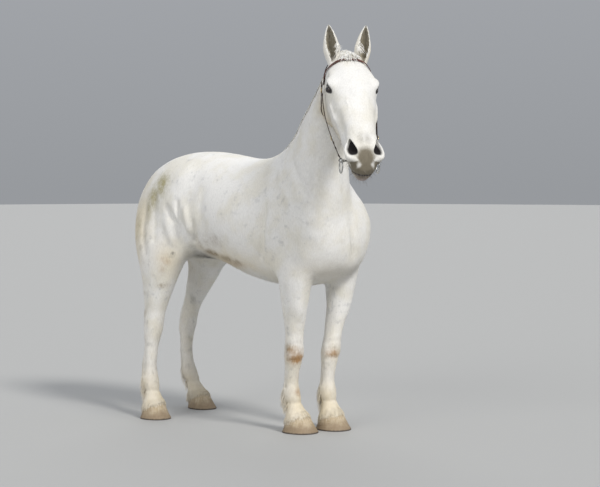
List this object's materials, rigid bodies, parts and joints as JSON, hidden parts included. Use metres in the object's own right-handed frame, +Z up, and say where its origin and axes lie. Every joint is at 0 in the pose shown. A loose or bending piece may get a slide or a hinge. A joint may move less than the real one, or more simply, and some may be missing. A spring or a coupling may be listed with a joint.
{
  "type": "draught horse",
  "caption": "Life-size still model of a white heavy draught horse standing square with its head raised and turned to its right, wearing a plain bridle with a loose-ring bit.",
  "frame": {"origin": "centre of the bounding box's base, on the floor that the hooves stand on", "axes": "+Z up, the horse faces -Y and its left side is +X"},
  "size_m": [1.0018, 2.4626, 2.4512],
  "materials": {
    "coat": "short white hair, matt",
    "long_hair": "long white hair, matt",
    "horn": "pale hoof horn, matt",
    "eye": "wet and glossy",
    "leather": "dark brown, worn",
    "steel": "worn bright steel"
  },
  "bodies": {
    "root": {"bit_mouthpiece": "steel", "bit_ring_left": "steel", "bit_ring_right": "steel", "browband": "leather", "cheekpiece_left": "leather", "cheekpiece_right": "leather", "crownpiece": "leather", "ear_left": "coat", "ear_right": "coat", "eye_left": "eye", "eye_right": "eye", "fore_cannon_left": "coat", "fore_cannon_right": "coat", "fore_hoof_left": "horn", "fore_hoof_right": "horn", "forearm_left": "coat", "forearm_right": "coat", "forelock": "long_hair", "gaskin_left": "coat", "gaskin_right": "coat", "head": "coat", "hind_cannon_left": "coat", "hind_cannon_right": "coat", "hind_hoof_left": "horn", "hind_hoof_right": "horn", "mane": "long_hair", "neck": "coat", "tail": "long_hair", "throatlatch": "leather", "trunk": "coat"}
  },
  "joints": []
}
